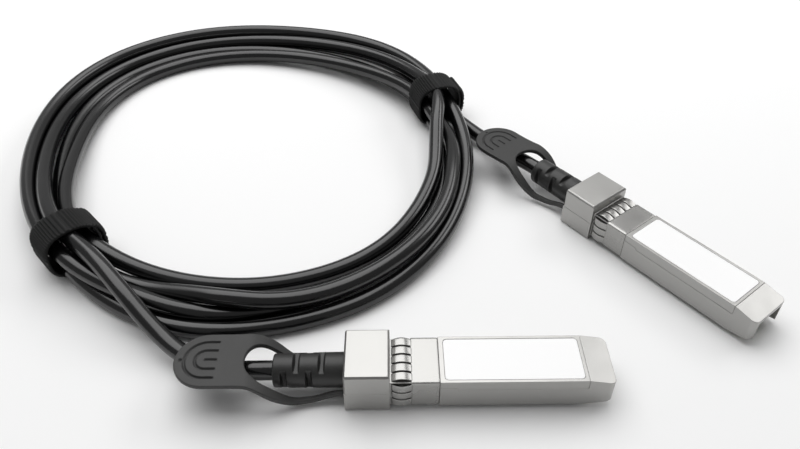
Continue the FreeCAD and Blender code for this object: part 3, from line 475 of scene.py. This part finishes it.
def tab_outlines():
    """Outer and inner edge of the tab, from one arm's tip round the pad to the other's, as equal rows of
    (x, y). On an arm the edges are y = c + d S((-2 - x) / l), the outer one with a bell at its widest. On
    the pad the outer edge is a half circle with straight sides, and the inner one the hole's half circle."""
    share = np.linspace(0, 1, 46)
    inner_x = ARM_TIP + (HOLE_END - ARM_TIP) * share
    outer_x = inner_x - PAD_RADIUS * smooth_step((share - 0.45) / 0.55)
    inner_arm = np.column_stack((inner_x, 4.3 + 1.4 * smooth_step((-2 - inner_x) / 15.5)))
    outer_arm = np.column_stack((
        outer_x, 5.5 + 2.0 * smooth_step((-2 - outer_x) / 17)
        + 0.75 * np.exp(-((outer_x - HOLE_END) / 4) ** 2)))
    around = np.linspace(0, 1, 201)[1:-1]
    angle = np.pi * (0.5 + around)
    inner_pad = np.column_stack((HOLE_END + HOLE_RADIUS * np.cos(angle), HOLE_RADIUS * np.sin(angle)))
    side, half_circle = 7.0, np.pi * PAD_RADIUS
    run = around * (2 * side + half_circle)
    bend = np.pi / 2 + np.clip(run - side, 0, half_circle) / PAD_RADIUS
    straight = np.minimum(run, side) - np.maximum(run - side - half_circle, 0)
    outer_pad = np.column_stack((
        HOLE_END - PAD_RADIUS - straight + PAD_RADIUS * np.cos(bend), PAD_RADIUS * np.sin(bend)))
    mirror = np.array((1, -1))
    outer = np.concatenate((outer_arm, outer_pad, outer_arm[::-1] * mirror))
    inner = np.concatenate((inner_arm, inner_pad, inner_arm[::-1] * mirror))
    return outer, inner


def tab_groove(flat, depth):
    """Depth of the grip grooves at points (x, y): two half rings with straight legs round x = -32, a line
    between them and a gate mark behind them, each with the soft profile exp(-(d / w)^4)."""
    x, y = flat[..., 0], flat[..., 1]
    half = 0.27
    ring = np.hypot(np.minimum(x + 32.0, 0), y)
    legs = smooth_step((-29.4 - x) / 0.4)
    lines = [np.exp(-((ring - radius) / half) ** 4) * legs for radius in (2.65, 5.15)]
    lines.append(np.exp(-(y / half) ** 4) * legs * smooth_step((x + 32.6) / 0.4))
    lines.append(np.exp(-(np.hypot(x + 38.0, y) / 0.36) ** 4))
    return depth * np.max(lines, axis=0)


def tab_points(depth, lean):
    """The pull tab, drawn along a plug. Across the strip between its two edges runs a closed section with
    edges of radius 0.3. Its underside is z(x) = 9.3 - 7.9 S((x + 23) / 12.5) + 1.6 S((x + 8) / 7), and the
    whole leans sideways by l S((-4 - x) / 28)."""
    outer, inner = tab_outlines()
    edge = 0.3
    quarter = np.linspace(0, np.pi / 2, 5)
    under, over = np.linspace(0, 1, 22), np.linspace(1, 0, 84)
    sides = (
        (under, edge * (1 - 2 * under), np.zeros(22), np.zeros(22)),
        (np.ones(4), edge * (np.sin(quarter[1:]) - 1), edge * (1 - np.cos(quarter[1:])), np.zeros(4)),
        (np.ones(4), edge * (np.cos(quarter[:-1]) - 1), edge * (np.sin(quarter[:-1]) - 1), np.ones(4)),
        (over, edge * (1 - 2 * over), np.zeros(84), np.ones(84)),
        (np.zeros(4), edge * (1 - np.sin(quarter[1:])), edge * (np.cos(quarter[1:]) - 1), np.ones(4)),
        (np.zeros(4), edge * (1 - np.cos(quarter[:-1])), edge * (1 - np.sin(quarter[:-1])),
         np.zeros(4)),
    )
    share, inset, lift, top = (np.concatenate(column) for column in zip(*sides))
    width = np.linalg.norm(outer - inner, axis=1)
    across = share[None, :] + inset[None, :] / width[:, None]
    flat = inner[:, None, :] + across[..., None] * (outer - inner)[:, None, :]
    x = flat[..., 0]
    floor = 9.3 - 7.9 * smooth_step((x + 23) / 12.5) + 1.6 * smooth_step((x + 8) / 7)
    sheet = 1.2 + 0.2 * smooth_step((x + 22) / 8) + 0.3 * np.exp(-((x + 17) / 4) ** 2)
    face = (lift == 0) & (top == 1)
    height = floor + lift + top * sheet - face * tab_groove(flat, depth)
    y = flat[..., 1] + lean * smooth_step((-4 - x) / 28)
    return np.stack((x, y, height), -1)


class CABLE_OT_tabs(bpy.types.Operator):
    """Moulds a pull tab for each plug"""
    bl_idname = "optical_cable.tabs"
    bl_label = "Pull tabs"

    def execute(self, context):
        settings = context.scene.optical_plugs
        material = node_material(
            "tab_plastic", settings.tab_color, 0.12, 0.0, 0.5, 3200, 0.3, shine=0.4)
        for side in PLUG_PLACES:
            points = tab_points(settings.groove_depth / MM, TAB_LEAN[side])
            piece = surface_object(
                "pull_tab_%s_moulding" % side, in_plug(points, side), grid_faces(*points.shape[:2]), material)
            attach(piece, "latch_" + side)
            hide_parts("pull_tab_" + side)
        return {"FINISHED"}


def boot_points():
    """The strain relief, drawn along a plug: r(x) = R + 0.015 x with a quarter round at the rear edge, cut
    down to flats by slots with the soft profile exp(-((x - s) / w)^6), above and below in one row and at
    both sides in the next, and a neck that enters the block."""
    x = np.linspace(-BOOT_LENGTH, 0, 190)[:, None]
    ring = np.linspace(0, 2 * np.pi, 96, endpoint=False)[None, :]
    edge = np.clip(1 - (x + BOOT_LENGTH) / BOOT_EDGE, 0, 1)
    radius = BOOT_RADIUS + 0.015 * x - BOOT_EDGE * (1 - np.sqrt(1 - edge ** 2)) + 0 * ring
    for row in range(SLOT_COUNT):
        facing = np.abs(np.cos(ring) if row % 2 else np.sin(ring))
        window = np.exp(-((x + SLOT_FIRST + SLOT_PITCH * row) / SLOT_HALF) ** 6)
        radius = radius - window * np.maximum(radius - SLOT_FLOOR / np.maximum(facing, 0.05), 0)
    x = np.append(x[:, 0], (0.01, NECK_LENGTH))[:, None] + 0 * ring
    radius = np.concatenate((radius, np.full((2, ring.size), NECK_RADIUS)))
    return np.stack((x, radius * np.cos(ring), BOOT_HEIGHT + radius * np.sin(ring)), -1)


class CABLE_OT_boots(bpy.types.Operator):
    """Moulds a slotted strain relief behind each plug"""
    bl_idname = "optical_cable.boots"
    bl_label = "Boots"

    def execute(self, context):
        settings = context.scene.optical_plugs
        material = node_material("boot_rubber", settings.boot_color, 0.3, 0.0, 0.42, 2200, 0.2)
        points = boot_points()
        faces = grid_faces(*points.shape[:2])
        for side in PLUG_PLACES:
            piece = surface_object("boot_%s_moulding" % side, in_plug(points, side), faces, material)
            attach(piece, "root")
            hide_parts("boot_" + side)
        return {"FINISHED"}


def collar_fingers(bow, across_count, middle, place):
    """A row of spring fingers. Along share s a finger bows out by b sin(pi s) and tucks in at its tip;
    its section is flat with round edges. place(across, out) gives the row's (y, z) in the plug."""
    along = np.linspace(0, 1, 26)
    out = bow * np.sin(np.pi * along) - 0.12 - 0.1 * along ** 6
    ring = np.linspace(0, 2 * np.pi, 20, endpoint=False)
    wide, thick = rounded(np.cos(ring), 7.0) * FINGER_HALF, rounded(np.sin(ring), 3.5) * SHEET_HALF
    slope = np.gradient(out, FINGER_LENGTH * along)
    lean = 1 / np.sqrt(1 + slope ** 2)
    x = FINGER_ROOT - FINGER_LENGTH * along[:, None] + (slope * lean)[:, None] * thick[None, :]
    proud = out[:, None] + lean[:, None] * thick[None, :]
    centres = middle + FINGER_PITCH * (np.arange(across_count) - (across_count - 1) / 2)
    across = centres[:, None, None] + wide[None, None, :] + np.zeros((1, along.size, 1))
    y, z = place(across, proud[None] + np.zeros((across_count, 1, 1)))
    return np.stack((np.broadcast_to(x, y.shape), y, z), -1)


def collar_band():
    """The band round the neck: a flat section swept round the squared-off ellipse (a cos t, b sin t) of
    the plug's body."""
    half_width, half_height, band_middle, band_half = 6.625, 4.15, 18.75, 3.25
    turn = np.linspace(0, 2 * np.pi, 160, endpoint=False)
    ring = np.linspace(0, 2 * np.pi, 24, endpoint=False)
    along = band_middle + band_half * rounded(np.cos(ring), 12.0)
    thick = 0.15 * rounded(np.sin(ring), 4.0)
    y = (half_width + thick[None, :]) * rounded(np.cos(turn), 24.0)[:, None]
    z = BODY_MIDDLE + (half_height + thick[None, :]) * rounded(np.sin(turn), 20.0)[:, None]
    return np.stack((np.broadcast_to(along, y.shape), y, z), -1)


class CABLE_OT_collars(bpy.types.Operator):
    """Bends the collar of spring fingers round each plug's neck"""
    bl_idname = "optical_cable.collars"
    bl_label = "Spring collars"

    def execute(self, context):
        settings = context.scene.optical_plugs
        bow = settings.finger_bow / MM
        material = node_material("collar_sheet", settings.collar_color, 0.06, 0.95, 0.26, 1800, 0.02)
        rows = np.concatenate((
            collar_fingers(bow, 5, 0.0, lambda across, out: (across, BODY_TOP + out)),
            collar_fingers(bow, 3, BODY_MIDDLE, lambda across, out: (BODY_HALF + out, across)),
            collar_fingers(bow, 3, BODY_MIDDLE, lambda across, out: (-BODY_HALF - out, across))))
        count, stations, ring = rows.shape[:3]
        band = collar_band()
        faces = grid_faces(stations, ring, count)
        start = count * stations * ring
        faces += (np.array(grid_faces(*band.shape[:2], capped=False)) + start).tolist()
        points = np.concatenate((rows.reshape(-1, 3), band.reshape(-1, 3)))
        for side in PLUG_PLACES:
            piece = surface_object(
                "emi_collar_%s_spring" % side, in_plug(points, side), faces, material)
            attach(piece, "root")
            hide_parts("emi_collar_" + side)
        return {"FINISHED"}


class CABLE_OT_finishes(bpy.types.Operator):
    """Gives the modelled pieces their finishes and softens their edges"""
    bl_idname = "optical_cable.finishes"
    bl_label = "Finishes"

    def execute(self, context):
        settings = context.scene.optical_plugs
        finishes = {name: node_material(name, *values) for name, *values in FINISHES}
        finishes["die_cast"] = node_material(
            "die_cast", settings.casting_color, 0.05, 0.95, 0.33, 2400, 0.1)
        finishes["label_film"] = node_material(
            "label_film", settings.label_color, 0.015, 0.0, 0.4, 900, 0.03)
        for entry in frame["record"]["subparts"]:
            finish = entry["material_slot"]
            if finish not in finishes:
                continue
            piece = frame["nodes"][entry["node"]]
            piece.data.materials.clear()
            piece.data.materials.append(finishes[finish])
            if finish == "die_cast":
                weld = piece.modifiers.new("Weld", "WELD")
                weld.merge_threshold = 2e-6
                flats = piece.modifiers.new("Flats", "DECIMATE")
                flats.decimate_type = "DISSOLVE"
                flats.angle_limit = math.radians(1)
                bevel = piece.modifiers.new("Edges", "BEVEL")
                bevel.width = CAST_EDGE
                bevel.segments = 2
                bevel.limit_method = "ANGLE"
                bevel.angle_limit = math.radians(35)
                bevel.use_clamp_overlap = False
        return {"FINISHED"}


class CABLE_OT_studio(bpy.types.Operator):
    """Sets up the camera, the floor and the soft lights"""
    bl_idname = "optical_cable.studio"
    bl_label = "Studio"

    def execute(self, context):
        settings = context.scene.optical_studio
        scene = context.scene
        camera = bpy.data.objects.new("Camera", bpy.data.cameras.new("Camera"))
        camera.data.lens = CAMERA_LENS
        camera.data.sensor_width = FILM_WIDTH
        camera.data.clip_start = 0.005
        camera.location = CAMERA_PLACE
        pitch = math.radians(CAMERA_PITCH)
        ahead, level = CAMERA_HEADING, math.cos(pitch)
        aim = Vector((ahead[0] * level, ahead[1] * level, -math.sin(pitch)))
        camera.rotation_euler = aim.to_track_quat("-Z", "Y").to_euler()
        context.collection.objects.link(camera)
        scene.camera = camera
        floor_mesh = bpy.data.meshes.new("floor")
        floor_mesh.from_pydata([(-6, -6, 0), (6, -6, 0), (6, 6, 0), (-6, 6, 0)], [], [(0, 1, 2, 3)])
        floor = bpy.data.objects.new("floor", floor_mesh)
        context.collection.objects.link(floor)
        floor_mesh.materials.append(
            node_material("floor", settings.floor_color, 0.004, 0.0, 0.9, 60, 0.0))
        for name, place, width, depth, power in LAMPS:
            light = bpy.data.lights.new(name, "AREA")
            light.shape = "RECTANGLE"
            light.size, light.size_y = width, depth
            light.energy = getattr(settings, power)
            lamp = bpy.data.objects.new(name, light)
            lamp.location = place
            context.collection.objects.link(lamp)
        world = bpy.data.worlds.new("studio")
        world.use_nodes = True
        scene.world = world
        nodes, links = world.node_tree.nodes, world.node_tree.links
        coords = nodes.new("ShaderNodeTexCoord")
        axes = nodes.new("ShaderNodeSeparateXYZ")
        strength = nodes.new("ShaderNodeMapRange")
        strength.interpolation_type = "SMOOTHSTEP"
        strength.inputs["From Min"].default_value = 0.35
        strength.inputs["From Max"].default_value = 0.7
        strength.inputs["To Min"].default_value = settings.fill
        strength.inputs["To Max"].default_value = settings.backdrop
        links.new(coords.outputs["Generated"], axes.inputs["Vector"])
        links.new(axes.outputs["Y"], strength.inputs["Value"])
        links.new(strength.outputs["Result"], nodes["Background"].inputs["Strength"])
        nodes["Background"].inputs["Color"].default_value = (1, 1, 1, 1)
        scene.view_settings.view_transform = "Standard"
        return {"FINISHED"}


class CABLE_PT_panel(bpy.types.Panel):
    """Lists the sizes and the operators in the sidebar"""
    bl_idname = "CABLE_PT_panel"
    bl_label = "Optical cable"
    bl_space_type = "VIEW_3D"
    bl_region_type = "UI"
    bl_category = "Optical cable"

    def draw(self, context):
        layout = self.layout
        for group, fields in (
                ("optical_lead", ("diameter", "length", "roughness", "color")),
                ("optical_ties", ("width", "thickness", "color")),
                ("optical_plugs", ("groove_depth", "finger_bow", "casting_color", "collar_color",
                                   "label_color", "tab_color", "boot_color")),
                ("optical_studio", ("key", "side", "fill", "backdrop", "floor_color"))):
            for field in fields:
                layout.prop(getattr(context.scene, group), field)
        for operator in ("lead", "ties", "tabs", "boots", "collars", "finishes", "studio"):
            layout.operator("optical_cable." + operator)


CLASSES = (
    CableSettings, TieSettings, PlugSettings, StudioSettings, CABLE_OT_lead, CABLE_OT_ties,
    CABLE_OT_tabs, CABLE_OT_boots, CABLE_OT_collars, CABLE_OT_finishes, CABLE_OT_studio, CABLE_PT_panel,
)


def register():
    for item in CLASSES:
        bpy.utils.register_class(item)
    bpy.types.Scene.optical_lead = bpy.props.PointerProperty(type=CableSettings)
    bpy.types.Scene.optical_ties = bpy.props.PointerProperty(type=TieSettings)
    bpy.types.Scene.optical_plugs = bpy.props.PointerProperty(type=PlugSettings)
    bpy.types.Scene.optical_studio = bpy.props.PointerProperty(type=StudioSettings)


def unregister():
    del bpy.types.Scene.optical_studio
    del bpy.types.Scene.optical_plugs
    del bpy.types.Scene.optical_ties
    del bpy.types.Scene.optical_lead
    for item in reversed(CLASSES):
        bpy.utils.unregister_class(item)


def main():
    register()
    bpy.ops.optical_cable.studio()
    bpy.ops.optical_cable.lead()
    bpy.ops.optical_cable.ties()
    bpy.ops.optical_cable.tabs()
    bpy.ops.optical_cable.boots()
    bpy.ops.optical_cable.collars()
    bpy.ops.optical_cable.finishes()


if __name__ == "__main__":
    main()
